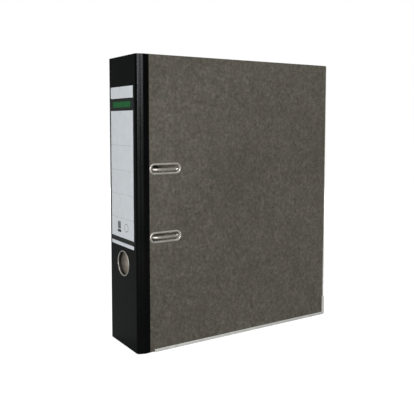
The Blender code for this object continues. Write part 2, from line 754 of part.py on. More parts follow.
def make_pins_and_roller(case_pivot, lever_pivot, roller_pivot):
    half = LEVER_WIDTH / 2 + EAR_GAP + PLATE + GAP
    place = (from_spine(LEVER_X), LEVER_AXIS_Y, LEVER_AXIS_Z)
    pin("lever_pin", PIN_RADIUS, PIN_HEAD, half, place, case_pivot)
    place = (from_spine(LEVER_X), ROLLER_Y, MIDDLE_Z)
    half = LEVER_WIDTH / 2 + GAP
    pin("roller_pin", ROLLER_PIN_RADIUS, ROLLER_PIN_HEAD, half, place, lever_pivot)
    half = LEVER_WIDTH / 2 - LEVER_SHEET - ROLLER_PLAY
    bore = ROLLER_PIN_RADIUS + ROLLER_PLAY
    profile = [
        (bore, half),
        (ROLLER_RADIUS - ROLLER_CHAMFER, half),
        (ROLLER_RADIUS, half - ROLLER_CHAMFER),
        (ROLLER_RADIUS, -half + ROLLER_CHAMFER),
        (ROLLER_RADIUS - ROLLER_CHAMFER, -half),
        (bore, -half),
    ]
    options = {"finish": "spring_steel", "pivot": roller_pivot, "steps": 24, "closed": True}
    turned("lever_roller", profile, place, ACROSS, **options)


def make_compressor(pivot):
    """The bar that holds the papers down, with a clamp on each post."""
    middle_x, half_x = (BAR_X[0] + BAR_X[1]) / 2, (BAR_X[1] - BAR_X[0]) / 2
    place = (from_spine(middle_x), BAR_Y, MIDDLE_Z)
    hole_radius, offset = POST_RADIUS + POST_PLAY, POST_X - middle_x
    holes = [circle(hole_radius, (offset, z - MIDDLE_Z), 20) for z in ARCH_Z]
    ring = rounded_box(half_x, BAR_HALF, BAR_ROUND, 5)
    options = {"turn": COVERWISE, "pivot": pivot}
    bar = outline("compressor_bar", [ring, *holes], BAR_THICK, place, finish="nickel", **options)
    rib_y = BAR_Y - BAR_THICK / 2 - RIB_PROUD + RIB_THICK / 2
    rib = rounded_box(RIB_HALF_X, RIB_HALF_Z, RIB_HALF_X, 4)
    rib_place = (from_spine(middle_x + RIB_OFFSET), rib_y, MIDDLE_Z)
    join(bar, outline("compressor_rib", [rib], RIB_THICK, rib_place, **options))
    clamp_y = BAR_Y - BAR_THICK / 2 - GAP - CLAMP_THICK / 2
    clamp_shape = rounded_box(CLAMP_HALF_X, CLAMP_HALF_Z, CLAMP_ROUND, 4)
    clamp_hole = circle(hole_radius, (-CLAMP_OFFSET, 0), 20)
    for word, z in zip(("upper", "lower"), ARCH_Z):
        clamp = outline(
            f"compressor_clamp_{word}",
            [clamp_shape, clamp_hole],
            CLAMP_THICK,
            (from_spine(POST_X + CLAMP_OFFSET), clamp_y, z),
            finish="black_plastic",
            **options,
        )
        soften(clamp, CLAMP_EDGE)


def make_case_half(word, side):
    """A hinge strip and a cover, each on the crease that it folds at."""
    middle = HEIGHT / 2
    corner, edge = spine_corner(side), cover_corner(side)
    strip = new_pivot(f"{word}_spine_crease", (from_spine(corner.x), corner.y, middle))
    cover = new_pivot(f"{word}_cover_crease", (from_spine(edge.x), edge.y, middle), strip)
    make_hinge_strip(word, side, strip)
    return make_cover(word, side, cover), cover


def make_mechanism(back_cover, case_pivot):
    arch_axis = new_pivot("arch_axis", (from_spine(ARCH_AXIS_X), ARCH_AXIS_Y, MIDDLE_Z), case_pivot)
    lever_axis = new_pivot("lever_axis", (from_spine(LEVER_X), LEVER_AXIS_Y, LEVER_AXIS_Z), case_pivot)
    roller_axis = new_pivot("roller_axis", (from_spine(LEVER_X), ROLLER_Y, MIDDLE_Z), lever_axis)
    compressor_slide = new_pivot("compressor_slide", (from_spine(POST_X), BAR_Y, MIDDLE_Z), case_pivot)
    make_base_plate(back_cover, case_pivot)
    make_posts(case_pivot)
    make_arch_wire(arch_axis)
    make_arch_saddles(case_pivot)
    make_arch_spring(case_pivot)
    make_lever(lever_axis)
    make_pins_and_roller(case_pivot, lever_axis, roller_axis)
    make_compressor(compressor_slide)


make_spine()
make_finger_ring()
front_cover, front_pivot = make_case_half("front", FRONT)
make_slot_eyelets(front_cover, front_pivot)
back_cover, back_pivot = make_case_half("back", BACK)
make_mechanism(back_cover, back_pivot)
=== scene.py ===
"""The looks of the lever arch file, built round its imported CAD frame.

Lengths are in metres, in the frame's own axes: +Z up, -X the spine's side, -Y the front cover.
A panel of the case is a stack of sheets, given as depths below its outermost surface.
"""

import json
import math

import bmesh
import bpy
from mathutils import Matrix, Vector


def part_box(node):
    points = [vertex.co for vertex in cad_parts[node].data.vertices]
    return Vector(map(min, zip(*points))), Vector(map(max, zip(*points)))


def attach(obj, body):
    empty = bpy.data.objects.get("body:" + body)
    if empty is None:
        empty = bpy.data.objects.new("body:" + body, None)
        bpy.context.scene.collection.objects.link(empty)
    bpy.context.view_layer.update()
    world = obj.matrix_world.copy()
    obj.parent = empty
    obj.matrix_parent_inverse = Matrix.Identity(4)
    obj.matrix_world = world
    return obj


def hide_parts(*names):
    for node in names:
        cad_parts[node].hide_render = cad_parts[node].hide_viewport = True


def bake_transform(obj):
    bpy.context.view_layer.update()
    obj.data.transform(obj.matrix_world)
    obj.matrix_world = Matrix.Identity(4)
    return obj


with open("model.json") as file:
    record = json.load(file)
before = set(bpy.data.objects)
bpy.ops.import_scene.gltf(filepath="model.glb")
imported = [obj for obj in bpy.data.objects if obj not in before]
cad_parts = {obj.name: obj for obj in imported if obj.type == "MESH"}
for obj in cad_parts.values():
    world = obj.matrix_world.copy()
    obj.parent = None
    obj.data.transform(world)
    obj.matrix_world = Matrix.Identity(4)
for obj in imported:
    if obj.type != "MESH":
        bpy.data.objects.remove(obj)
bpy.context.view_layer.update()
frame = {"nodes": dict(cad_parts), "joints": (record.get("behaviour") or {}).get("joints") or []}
JOINTS = {joint["name"]: joint for joint in frame["joints"]}
MM = 0.001


def low(node):
    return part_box(node)[0]


def high(node):
    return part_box(node)[1]


def middle(node):
    return (low(node) + high(node)) / 2


# The case, read from the frame
SPINE_X = low("spine_cloth").x
TOP = high("spine_board").z
BOTTOM = low("spine_board").z
BOARD_END = high("front_cover").x
LAP_END = high("front_cover_cloth").x
PANEL_START = LAP_END - 3 * MM  # the covering laps over a cover's panel by this much

# Sheets of the case, as depths below its outermost surface
COVERING = (0, 0.4 * MM)
CORE = (0.41 * MM, 3.09 * MM)
PANEL_PAPER = (0.45 * MM, 0.6 * MM)
PANEL_CORE = (0.61 * MM, 3.09 * MM)
LINING = (3.1 * MM, 3.25 * MM)
CREASE_IN = 0.6 * MM  # inner radius of a bent board
CREASE_RADIUS = CREASE_IN + LINING[1]
PAPER_THICKNESS = PANEL_PAPER[1] - PANEL_PAPER[0]

FRONT, BACK = -1, 1
WORDS = {FRONT: "front", BACK: "back"}


# ---------------------------------------------------------------- camera, lights and floor


def make_camera():
    """A short tele lens at the height of the file, off to the spine's side, that looks almost level."""
    camera = bpy.data.cameras.new("camera")
    camera.lens, camera.sensor_width, camera.shift_y = 52.94, 36, -0.1014
    camera.clip_start, camera.clip_end = 0.01, 50
    item = bpy.data.objects.new("camera", camera)
    bpy.context.scene.collection.objects.link(item)
    yaw, pitch = math.radians(32.78), math.radians(3.9)
    item.location = (SPINE_X - 0.306, -0.6606, 0.2682)
    level = math.cos(pitch)
    looking = Vector((math.sin(yaw) * level, math.cos(yaw) * level, -math.sin(pitch)))
    item.rotation_euler = looking.to_track_quat("-Z", "Y").to_euler()
    bpy.context.scene.camera = item


def area_light(name, place, target, size, power, colour=(1, 1, 1)):
    """A rectangle of light at a place, turned towards a target."""
    light = bpy.data.lights.new(name, "AREA")
    light.shape, light.size, light.size_y = "RECTANGLE", size[0], size[1]
    light.energy, light.color = power, colour
    item = bpy.data.objects.new(name, light)
    bpy.context.scene.collection.objects.link(item)
    item.location = place
    item.rotation_euler = (Vector(target) - Vector(place)).to_track_quat("-Z", "Y").to_euler()


def sun(name, direction, strength, spread):
    """Light that comes from a direction with the same strength everywhere."""
    light = bpy.data.lights.new(name, "SUN")
    light.energy, light.angle = strength, math.radians(spread)
    item = bpy.data.objects.new(name, light)
    bpy.context.scene.collection.objects.link(item)
    item.rotation_euler = Vector(direction).to_track_quat("Z", "Y").to_euler()


def make_light():
    """A soft high sun, a key at the left, a box that the hinge strip mirrors, and fills all round."""
    sun("overhead", (-0.62, -0.6, 1.0), 1.15, 30)
    area_light("key", (-1.02, -1.34, 0.54), (-0.06, 0, 0.16), (0.4, 0.4), 15)
    area_light("strip_box", (-0.5, -1.5, 0.64), (0, 0, 0.32), (0.3, 0.5), 9, (0.9, 0.92, 1))
    area_light("back_fill", (0.9, 1.4, 0.7), (0, 0, 0.15), (1.1, 0.9), 34)
    area_light("fore_fill", (1.5, 0.05, 0.12), (-0.1, 0, 0.08), (0.5, 0.3), 14)
    area_light("spine_fill", (-1.3, 1.3, 0.2), (0, 0, 0.1), (1.4, 0.9), 0.75, (0.84, 1, 0.94))


def split_by_camera(tree, seen, unseen):
    """Mix two shaders so that the camera sees the first and every other ray meets the second."""
    path = tree.nodes.new("ShaderNodeLightPath")
    mixed = tree.nodes.new("ShaderNodeMixShader")
    tree.links.new(path.outputs["Is Camera Ray"], mixed.inputs["Fac"])
    tree.links.new(unseen, mixed.inputs[1])
    tree.links.new(seen, mixed.inputs[2])
    return mixed.outputs[0]


SKY = ((0.1, 0.03), (1.0, 0.5))  # heights in the sky, and its grey at each


def make_world():
    """White behind the object, as in a cut-out studio picture, and a dim sky that is brighter overhead."""
    world = bpy.data.worlds.new("studio")
    bpy.context.scene.world = world
    world.use_nodes = True
    tree = world.node_tree
    tree.nodes.clear()
    place = tree.nodes.new("ShaderNodeTexCoord")
    split = tree.nodes.new("ShaderNodeSeparateXYZ")
    tree.links.new(place.outputs["Generated"], split.inputs[0])
    rise = tree.nodes.new("ShaderNodeValToRGB")
    for element, (where, grey) in zip(rise.color_ramp.elements, SKY):
        element.position, element.color = where, (grey, grey, grey, 1)
    tree.links.new(split.outputs["Z"], rise.inputs["Fac"])
    white, sky = (tree.nodes.new("ShaderNodeBackground") for _ in range(2))
    white.inputs["Color"].default_value = (1, 1, 1, 1)
    tree.links.new(rise.outputs["Color"], sky.inputs["Color"])
    out = tree.nodes.new("ShaderNodeOutputWorld")
    tree.links.new(split_by_camera(tree, white.outputs[0], sky.outputs[0]), out.inputs["Surface"])
    bpy.context.scene.view_settings.view_transform = "Standard"


FLOOR_GLOW, FLOOR_WHITE = 0.85, 0.26  # its own light, which no shadow takes away, and its paint
FLOOR_BOUNCE = (0.21, 0.22, 0.215)  # the paint that every ray but the camera's meets


def make_floor():
    """A floor that fades into the white behind, and throws back only a little light on the object."""
    bpy.ops.mesh.primitive_plane_add(size=30, location=(0, 0, 0))
    floor = bpy.context.object
    floor.name = "floor"
    pale = bpy.data.materials.new("pale_floor")
    pale.use_nodes = True
    tree = pale.node_tree
    tree.nodes.clear()
    white, grey = (tree.nodes.new("ShaderNodeBsdfDiffuse") for _ in range(2))
    white.inputs["Color"].default_value = (FLOOR_WHITE,) * 3 + (1,)
    grey.inputs["Color"].default_value = (*FLOOR_BOUNCE, 1)
    glow = tree.nodes.new("ShaderNodeEmission")
    glow.inputs["Color"].default_value = (FLOOR_GLOW,) * 3 + (1,)
    lit = tree.nodes.new("ShaderNodeAddShader")
    tree.links.new(white.outputs[0], lit.inputs[0])
    tree.links.new(glow.outputs[0], lit.inputs[1])
    out = tree.nodes.new("ShaderNodeOutputMaterial")
    tree.links.new(split_by_camera(tree, lit.outputs[0], grey.outputs[0]), out.inputs["Surface"])
    floor.data.materials.append(pale)


# ---------------------------------------------------------------- materials


def linear(colour):
    """An sRGB colour, 0 to 255, as linear numbers."""
    shares = (value / 255 for value in colour)
    return tuple(s / 12.92 if s <= 0.04045 else ((s + 0.055) / 1.055) ** 2.4 for s in shares)


class Finish:
    """A Principled material and short calls for the textures that drive it."""

    def __init__(self, name, colour, roughness, metallic=0.0):
        self.material = bpy.data.materials.new(name)
        self.material.use_nodes = True
        self.tree = self.material.node_tree
        self.shader = self.tree.nodes["Principled BSDF"]
        self.shader.inputs["Base Color"].default_value = (*linear(colour), 1)
        self.shader.inputs["Roughness"].default_value = roughness
        self.shader.inputs["Metallic"].default_value = metallic
        self.place = self.tree.nodes.new("ShaderNodeTexCoord").outputs["Object"]

    def link(self, source, node, socket):
        self.tree.links.new(source, node.inputs[socket])

    def stretched(self, scale, turn=(0, 0, 0)):
        node = self.tree.nodes.new("ShaderNodeMapping")
        node.inputs["Scale"].default_value = scale
        node.inputs["Rotation"].default_value = turn
        self.link(self.place, node, "Vector")
        return node.outputs[0]

    def noise(self, scale, detail=2.0, rough=0.5, distort=0.0, place=None):
        node = self.tree.nodes.new("ShaderNodeTexNoise")
        values = {"Scale": scale, "Detail": detail, "Roughness": rough, "Distortion": distort}
        for socket, value in values.items():
            node.inputs[socket].default_value = value
        self.link(place or self.place, node, "Vector")
        return node.outputs["Fac"]

    def math(self, operation, one, other=0.0):
        node = self.tree.nodes.new("ShaderNodeMath")
        node.operation = operation
        for index, value in enumerate((one, other)):
            if isinstance(value, (int, float)):
                node.inputs[index].default_value = value
            else:
                self.tree.links.new(value, node.inputs[index])
        return node.outputs[0]

    def total(self, *weighted):
        """A sum of textures, each about 0 and times its weight, and then plus a half."""
        result = 0.5
        for texture, weight in weighted:
            part = self.math("MULTIPLY", self.math("SUBTRACT", texture, 0.5), weight)
            result = self.math("ADD", part, result)
        return result

    def ramp(self, value, *stops):
        """Colours at places from 0 to 1; a colour is sRGB, 0 to 255, or one grey number from 0 to 1."""
        node = self.tree.nodes.new("ShaderNodeValToRGB")
        band = node.color_ramp
        while len(band.elements) < len(stops):
            band.elements.new(0.5)
        for element, (where, colour) in zip(band.elements, stops):
            element.position = where
            shade = (colour,) * 3 if isinstance(colour, (int, float)) else linear(colour)
            element.color = (*shade, 1)
        self.link(value, node, "Fac")
        return node.outputs["Color"]

    def mix(self, share, one, other):
        node = self.tree.nodes.new("ShaderNodeMix")
        node.data_type = "RGBA"
        for socket, value in ((0, share), (6, one), (7, other)):
            if isinstance(value, (int, float)):
                node.inputs[socket].default_value = value
            elif isinstance(value, tuple):
                node.inputs[socket].default_value = (*linear(value), 1)
            else:
                self.tree.links.new(value, node.inputs[socket])
        return node.outputs[2]

    def colour(self, source):
        self.link(source, self.shader, "Base Color")

    def roughness(self, texture, least, most):
        self.link(self.ramp(texture, (0.25, least), (0.75, most)), self.shader, "Roughness")

    def bump(self, height, distance, strength=1.0):
        node = self.tree.nodes.new("ShaderNodeBump")
        node.inputs["Distance"].default_value = distance
        node.inputs["Strength"].default_value = strength
        self.link(height, node, "Height")
        self.link(node.outputs[0], self.shader, "Normal")

    def fibres(self, amount):
        """Short hairs lying three ways in the paper, as a mask from 0 to 1."""
        found = 0.0
        for turn in (0.4, 1.5, 2.6):
            place = self.stretched((1500, 1500, 130), (turn * 0.3, turn, turn))
            hair = self.noise(1.0, 1.0, 0.4, 1.2, place)
            mask = self.math("MULTIPLY", self.math("SUBTRACT", hair, 0.66), 9.0)
            found = self.math("MAXIMUM", found, mask)
        clamped = self.math("MINIMUM", found, 1.0)
        return self.math("MULTIPLY", clamped, amount)


def marbled_paper():
    """Recycled marbled paper: small soft clouds, a slow drift of tone, fibres and specks."""
    made = Finish("marbled_paper", (84, 80, 72), 0.78)
    drift = made.noise(7, 2, 0.5)
    cloud = made.noise(250, 4, 0.62, 0.6)
    patch = made.noise(90, 3, 0.55, 0.9)
    grain = made.noise(1500, 2, 0.6)
    value = made.total((drift, 0.3), (cloud, 1.0), (patch, 0.4), (grain, 0.5))
    tone = made.ramp(value, (0.18, (55, 52, 45)), (0.5, (78, 73, 64)), (0.82, (102, 97, 88)))
    green = made.ramp(value, (0.18, (53, 53, 45)), (0.5, (74, 73, 64)), (0.82, (96, 95, 85)))
    hue = made.ramp(made.noise(70, 2, 0.5), (0.4, 0.0), (0.7, 0.5))
    toned = made.mix(hue, tone, green)
    haired = made.mix(made.fibres(0.5), toned, (114, 110, 100))
    speck = made.noise(420, 1, 0.3)
    dark = made.ramp(speck, (0.70, 0.0), (0.78, 0.7))
    made.colour(made.mix(dark, haired, (40, 38, 33)))
    made.roughness(cloud, 0.68, 0.86)
    made.bump(made.total((grain, 0.5), (cloud, 0.7)), 0.00008, 0.6)
    made.shader.inputs["Specular IOR Level"].default_value = 0.3
    return made.material


def lining_paper():
    """The paper inside the case: paler than the marbled paper, and more even."""
    made = Finish("lining_paper", (176, 169, 159), 0.8)
    cloud = made.noise(210, 4, 0.6, 0.5)
    grain = made.noise(1400, 2, 0.6)
    value = made.total((cloud, 0.8), (grain, 0.5))
    tone = made.ramp(value, (0.2, (152, 146, 137)), (0.5, (176, 169, 159)), (0.8, (198, 191, 180)))
    made.colour(made.mix(made.fibres(0.4), tone, (208, 202, 191)))
    made.roughness(cloud, 0.72, 0.88)
    made.bump(grain, 0.00006, 0.5)
    return made.material


def grey_board():
    """Cut edges of recycled board: pressed layers that run along the sheet, with flecks."""
    made = Finish("grey_board", (176, 171, 161), 0.9)
    layers = made.noise(1.0, 3, 0.6, 0.4, made.stretched((300, 5200, 120)))
    fleck = made.noise(1100, 2, 0.5)
    value = made.total((layers, 0.9), (fleck, 0.6))
    made.colour(made.ramp(value, (0.2, (136, 130, 120)), (0.5, (176, 171, 161)), (0.8, (206, 202, 193))))
    made.bump(value, 0.00015, 0.7)
    return made.material


def black_covering():
    """Black book covering with a fine woven emboss, worn a little duller in patches."""
    made = Finish("black_covering", (18, 18, 18), 0.32)
    split = made.tree.nodes.new("ShaderNodeSeparateXYZ")
    made.link(made.place, split, "Vector")
    across = made.math("ADD", split.outputs["X"], split.outputs["Y"])
    threads = []
    for way in (across, split.outputs["Z"]):
        wave = made.math("SINE", made.math("MULTIPLY", way, 2 * math.pi / (0.55 * MM)))
        threads.append(made.math("MULTIPLY", wave, 0.5))
    weave = made.math("MULTIPLY", threads[0], threads[1])
    grain = made.noise(2600, 2, 0.6)
    patch = made.noise(38, 3, 0.6)
    shade = made.total((patch, 0.5), (grain, 0.4))
    made.colour(made.ramp(shade, (0.25, (2, 3, 3)), (0.5, (4, 5, 4)), (0.8, (9, 10, 9))))
    made.roughness(made.total((patch, 0.8), (grain, 0.5)), 0.24, 0.33)
    height = made.math("ADD", made.math("MULTIPLY", weave, 0.5), made.math("MULTIPLY", grain, 0.5))
    made.bump(height, 0.000005, 0.4)
    made.shader.inputs["Specular IOR Level"].default_value = 0.12
    return made.material


def label_paper(name, colour, roughness=0.5):
    """Printed label paper of one colour, with a fine grain and a faint drift of tone."""
    made = Finish(name, colour, roughness)
    grain = made.noise(1300, 2, 0.6)
    pulp = made.noise(90, 3, 0.6)
    value = made.total((grain, 0.5), (pulp, 0.6))
    less, more = (tuple(max(0, min(255, c + step)) for c in colour) for step in (-9, 7))
    made.colour(made.ramp(value, (0.25, less), (0.5, colour), (0.75, more)))
    made.roughness(pulp, roughness - 0.06, roughness + 0.08)
    made.bump(grain, 0.00003, 0.4)
    return made.material


def metal(name, colour, least, most, streak=(260, 260, 260)):
    """Plated or bare metal: fine drawn streaks, and patches that are duller."""
    made = Finish(name, colour, (least + most) / 2, 1.0)
    drawn = made.noise(1.0, 3, 0.6, 0.2, made.stretched(streak))
    patch = made.noise(55, 3, 0.6)
    value = made.total((drawn, 0.7), (patch, 0.6))
    dull = tuple(int(c * 0.82) for c in colour)
    made.colour(made.mix(made.ramp(patch, (0.45, 0.0), (0.8, 0.6)), colour, dull))
    made.roughness(value, least, most)
    made.bump(drawn, 0.000006, 0.5)
    return made.material


def plating(name, colour, metallic, least, most):
    """Dull plating, which scatters some of the light that it doesn't mirror."""
    made = Finish(name, colour, (least + most) / 2, metallic)
    grain = made.noise(900, 3, 0.6)
    patch = made.noise(160, 3, 0.6)
    dull = tuple(c - 20 for c in colour)
    made.colour(made.ramp(patch, (0.3, dull), (0.7, colour)))
    made.roughness(made.total((grain, 0.6), (patch, 0.6)), least, most)
    made.bump(grain, 0.000015, 0.5)
    return made.material


def black_plastic():
    """Moulded plastic with a fine spark-eroded grain."""
    made = Finish("black_plastic", (26, 26, 27), 0.42)
    spark = made.noise(2400, 2, 0.6)
    patch = made.noise(120, 2, 0.5)
    made.colour(made.ramp(patch, (0.3, (20, 20, 21)), (0.7, (32, 32, 33))))
    made.roughness(patch, 0.34, 0.5)
    made.bump(spark, 0.00004, 0.6)
    return made.material


def make_materials():
    return {
        "marbled": marbled_paper(),
        "lining": lining_paper(),
        "board": grey_board(),
        "covering": black_covering(),
        "label_white": label_paper("label_white", (222, 226, 230)),
        "label_line": label_paper("label_line", (186, 190, 193)),
        "label_mark": label_paper("label_mark", (112, 115, 118)),
        "label_black": label_paper("label_black", (25, 27, 26), 0.38),
        "label_green": label_paper("label_green", (22, 96, 46), 0.4),
        "nickel": metal("nickel", (214, 209, 198), 0.14, 0.3),
        "satin": plating("satin_plating", (190, 186, 177), 0.6, 0.34, 0.5),
        # painted shade: the ring's barrel is plated metal, coloured this dark to stand for the shade inside
        # the finger hole
        "barrel": plating("barrel_plating", (66, 64, 60), 0.8, 0.42, 0.55),
        "wire": plating("wire_plating", (204, 199, 190), 0.8, 0.3, 0.42),
        "edge_steel": plating("edge_steel", (216, 215, 209), 0.35, 0.36, 0.5),
        "zinc": metal("zinc", (196, 199, 203), 0.24, 0.42, (900, 900, 70)),
        "spring": metal("spring_steel", (150, 146, 140), 0.26, 0.4, (1100, 1100, 60)),
        "plastic": black_plastic(),
    }


# ---------------------------------------------------------------- mesh helpers


def finished(name, shape, material, smooth=40):
    """A mesh object from a bmesh, closed and facing out, shaded smooth except at its edges."""
    bmesh.ops.recalc_face_normals(shape, faces=shape.faces)
    mesh = bpy.data.meshes.new(name)
    shape.to_mesh(mesh)
    shape.free()
    item = bpy.data.objects.new(name, mesh)
    bpy.context.scene.collection.objects.link(item)
    if material:
        mesh.materials.append(material)
    mesh.shade_smooth()
    mesh.set_sharp_from_angle(angle=math.radians(smooth))
    return item


def lofted(rings, closed_path=False):
    """Faces between rings of points in order. An open loft is capped at both ends."""
    shape = bmesh.new()
    made = [[shape.verts.new(point) for point in ring] for ring in rings]
    count = len(made[0])
    following = made[1:] + made[:1] if closed_path else made[1:]
    for one, other in zip(made, following):
        for i in range(count):
            j = (i + 1) % count
            shape.faces.new((one[i], one[j], other[j], other[i]))
    if not closed_path:
        shape.faces.new(made[0])
        shape.faces.new(made[-1])
    return shape


def oval(centre, radii, start, end, steps):
    """Points on an ellipse in a plane, from one angle to another, in degrees."""
    angles = (math.radians(start + (end - start) * i / steps) for i in range(steps + 1))
    return [(centre[0] + radii[0] * math.cos(a), centre[1] + radii[1] * math.sin(a)) for a in angles]


def arc(centre, radius, start, end, steps):
    return oval(centre, (radius, radius), start, end, steps)


def rounded_box(half_x, half_y, radius=0.0, steps=8):
    """A rectangle about the origin, with its corners rounded if a radius is given."""
    corners = ((1, 1, 0), (-1, 1, 90), (-1, -1, 180), (1, -1, 270))
    if not radius:
        return [(x * half_x, y * half_y) for x, y, _ in corners]
    return [
        point
        for x, y, start in corners
        for point in arc((x * (half_x - radius), y * (half_y - radius)), radius, start, start + 90, steps)
    ]


def slab(name, ring, thickness, place, axis, material, chamfer=0.0):
    """A flat plate: an outline in a plane, thick along an axis ('X' or 'Y') about its middle."""
    to_space = {
        "X": lambda a, b, h: (h, a, b),
        "Y": lambda a, b, h: (a, h, b),
    }[axis]
    half = thickness / 2
    levels = [(-half, 0), (half, 0)]
    if chamfer:
        flat = half - chamfer
        levels = [(-half, chamfer), (-flat, 0), (flat, 0), (half, chamfer)]
    rings = []
    for height, inset in levels:
        shrunk = inset_ring(ring, inset)
        rings.append([Vector(place) + Vector(to_space(a, b, height)) for a, b in shrunk])
    return finished(name, lofted(rings), material)


def inset_ring(ring, inset):
    """A convex outline drawn in by a distance along its own normals."""
    if not inset:
        return ring
    count, result = len(ring), []
    for i, (x, y) in enumerate(ring):
        before, after = Vector(ring[i - 1]), Vector(ring[(i + 1) % count])
        along = (after - before).normalized()
        result.append((x - along.y * inset, y + along.x * inset))
    return result


def turned(name, profile, place, axis, material, steps, smooth=35):
    """A solid turned round an axis from a closed profile of (radius, distance along the axis)."""
    axis = Vector(axis).normalized()
    side = axis.orthogonal().normalized()
    other = axis.cross(side)
    rings = []
    for i in range(steps):
        angle = 2 * math.pi * i / steps
        way = side * math.cos(angle) + other * math.sin(angle)
        rings.append([Vector(place) + way * radius + axis * height for radius, height in profile])
    shape = lofted(rings, closed_path=True)
    bmesh.ops.remove_doubles(shape, verts=shape.verts, dist=1e-7)
    empty = [face for face in shape.faces if face.calc_area() < 1e-14]
    bmesh.ops.delete(shape, geom=empty, context="FACES_ONLY")
    return finished(name, shape, material, smooth)


def swept(name, path, radii, material, sides=24):
    """A round wire along a path, with a radius for each point of the path."""
    rings = []
    side = (path[1] - path[0]).orthogonal()
    turns = [2 * math.pi * k / sides for k in range(sides)]
    befores, afters = [path[0], *path[:-1]], [*path[1:], path[-1]]
    for point, before, after, radius in zip(path, befores, afters, radii):
        along = (after - before).normalized()
        side = (side - along * side.dot(along)).normalized()
        other = along.cross(side)
        rings.append([point + (side * math.cos(t) + other * math.sin(t)) * radius for t in turns])
    return finished(name, lofted(rings), material)


def cut_with(item, tool):
    """Take a tool's shape out of a piece for good, and remove the tool."""
    change = item.modifiers.new("cut", "BOOLEAN")
    change.operation, change.object, change.solver = "DIFFERENCE", tool, "EXACT"
    graph = bpy.context.evaluated_depsgraph_get()
    mesh = bpy.data.meshes.new_from_object(item.evaluated_get(graph))
    item.modifiers.clear()
    item.data = mesh
    bpy.data.objects.remove(tool)
    mesh.set_sharp_from_angle(angle=math.radians(40))


FLAT_ANGLE, EDGE_ANGLE = 1, 32  # degrees: faces this flat are joined, and edges this sharp are rounded


def refined(node, body, slot, material, width):
    """A CAD node's own shape with its edges rounded, in place of the faceted solid."""
    shape = bmesh.new()
    shape.from_mesh(frame["nodes"][node].data)
    bmesh.ops.remove_doubles(shape, verts=shape.verts, dist=1e-6)
    bmesh.ops.dissolve_limit(
        shape,
        angle_limit=math.radians(FLAT_ANGLE),
        use_dissolve_boundaries=False,
        verts=shape.verts,
        edges=shape.edges,
    )
    item = finished(f"{node}_finished", shape, material, EDGE_ANGLE)
    bevel = item.modifiers.new("edges", "BEVEL")
    bevel.width, bevel.segments, bevel.limit_method = width, 3, "ANGLE"
    bevel.angle_limit, bevel.use_clamp_overlap = math.radians(EDGE_ANGLE), True
    graph = bpy.context.evaluated_depsgraph_get()
    item.data = bpy.data.meshes.new_from_object(item.evaluated_get(graph))
    item.modifiers.clear()
    item.data.shade_smooth()
    item.data.set_sharp_from_angle(angle=math.radians(EDGE_ANGLE))
    mounted(item, body, slot, node)


def mounted(item, body, slot, *nodes):
    """The piece rides on a body and stands for these CAD nodes; its slot is not used."""
    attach(item, body)
    if nodes:
        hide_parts(*nodes)


# ---------------------------------------------------------------- the case


def crease(name):
    """A crease's place in plan, on the case's outermost surface, as it would be on the front's side."""
    x, y, _ = JOINTS[name]["pos_m"]
    return Vector((x, -abs(y)))


def leftward(along):
    """A direction in a plane, turned a quarter to the left."""
    return Vector((-along.y, along.x))


def rounded_route(start, corner, end, steps):
    """A route in plan round one left-hand corner, as pairs of a point and the normal to its left."""
    comes, goes = (corner - start).normalized(), (end - corner).normalized()
    turn = comes.angle(goes)
    centre = corner - comes * CREASE_RADIUS * math.tan(turn / 2) + leftward(comes) * CREASE_RADIUS
    route = [(start, leftward(comes))]
    for i in range(steps + 1):
        inward = leftward(Matrix.Rotation(turn * i / steps, 2) @ comes)
        route.append((centre - inward * CREASE_RADIUS, inward))
    return [*route, (end, leftward(goes))]


def panel_strip(name, route, depths, material, side):
    """A closed sheet between two depths along a route in plan, as tall as the case."""
    outer = [point + inward * depths[0] for point, inward in route]
    inner = [point + inward * depths[1] for point, inward in route]
    ring = outer + inner[::-1]
    rings = [[(x, y * side, z) for x, y in ring] for z in (BOTTOM, TOP)]
    return finished(name, lofted(rings), material, 12)


def subdivided(route, most, centre=None):
    """A route with points no further apart than a distance, or only so near a centre if one is given."""
    result = [route[0]]
    for (one, normal), (other, other_normal) in zip(route, route[1:]):
        away = 0 if centre is None else min((one - centre).length, (other - centre).length)
        steps = max(1, math.ceil((other - one).length / most)) if away < 2 * GROOVE_HALF else 1
        for i in range(1, steps + 1):
            share = i / steps
            result.append((one.lerp(other, share), normal.lerp(other_normal, share).normalized()))
    return result


GROOVE_DEPTH, GROOVE_HALF = 0.22 * MM, 0.6 * MM
GROOVE_SHARE = 0.62  # where the groove lies from the spine's crease to the cover's


def grooved(route, centre):
    """The covering's route pressed into a shallow groove along the hinge strip."""
    result = []
    for point, inward in route:
        away = (point - centre).length
        sink = GROOVE_DEPTH * (0.5 + 0.5 * math.cos(math.pi * min(1, away / GROOVE_HALF)))
        result.append((point + inward * sink, inward))
    return result


# Each sheet's depths and slot, and the CAD nodes it stands for: the spine's, and a hinge's by their endings
SHEETS = {
    "covering": (COVERING, "black_cloth", ["spine_cloth"], ["hinge_cloth", "cover_cloth"]),
    "board": (CORE, "lining_board", ["spine_board"], ["hinge_board"]),
    "lining": (LINING, "lining_board", [], []),
}
SPINE_ARC_STEPS, COVER_ARC_STEPS = 8, 6
BOARD_STEP, COVERING_STEP, GROOVE_STEP = 2 * MM, 1 * MM, 0.25 * MM
COVER_TURN_REACH = 0.9 * MM


def bent_sheet(name, sheet, route, groove, side, materials):
    """One sheet of the case along a route; the covering also follows the strip's groove."""
    if sheet == "covering":
        fine = subdivided(subdivided(route, COVERING_STEP), GROOVE_STEP, groove)
        route = grooved(fine, groove)
    else:
        route = subdivided(route, BOARD_STEP)
    return panel_strip(name, route, SHEETS[sheet][0], materials[sheet], -side)


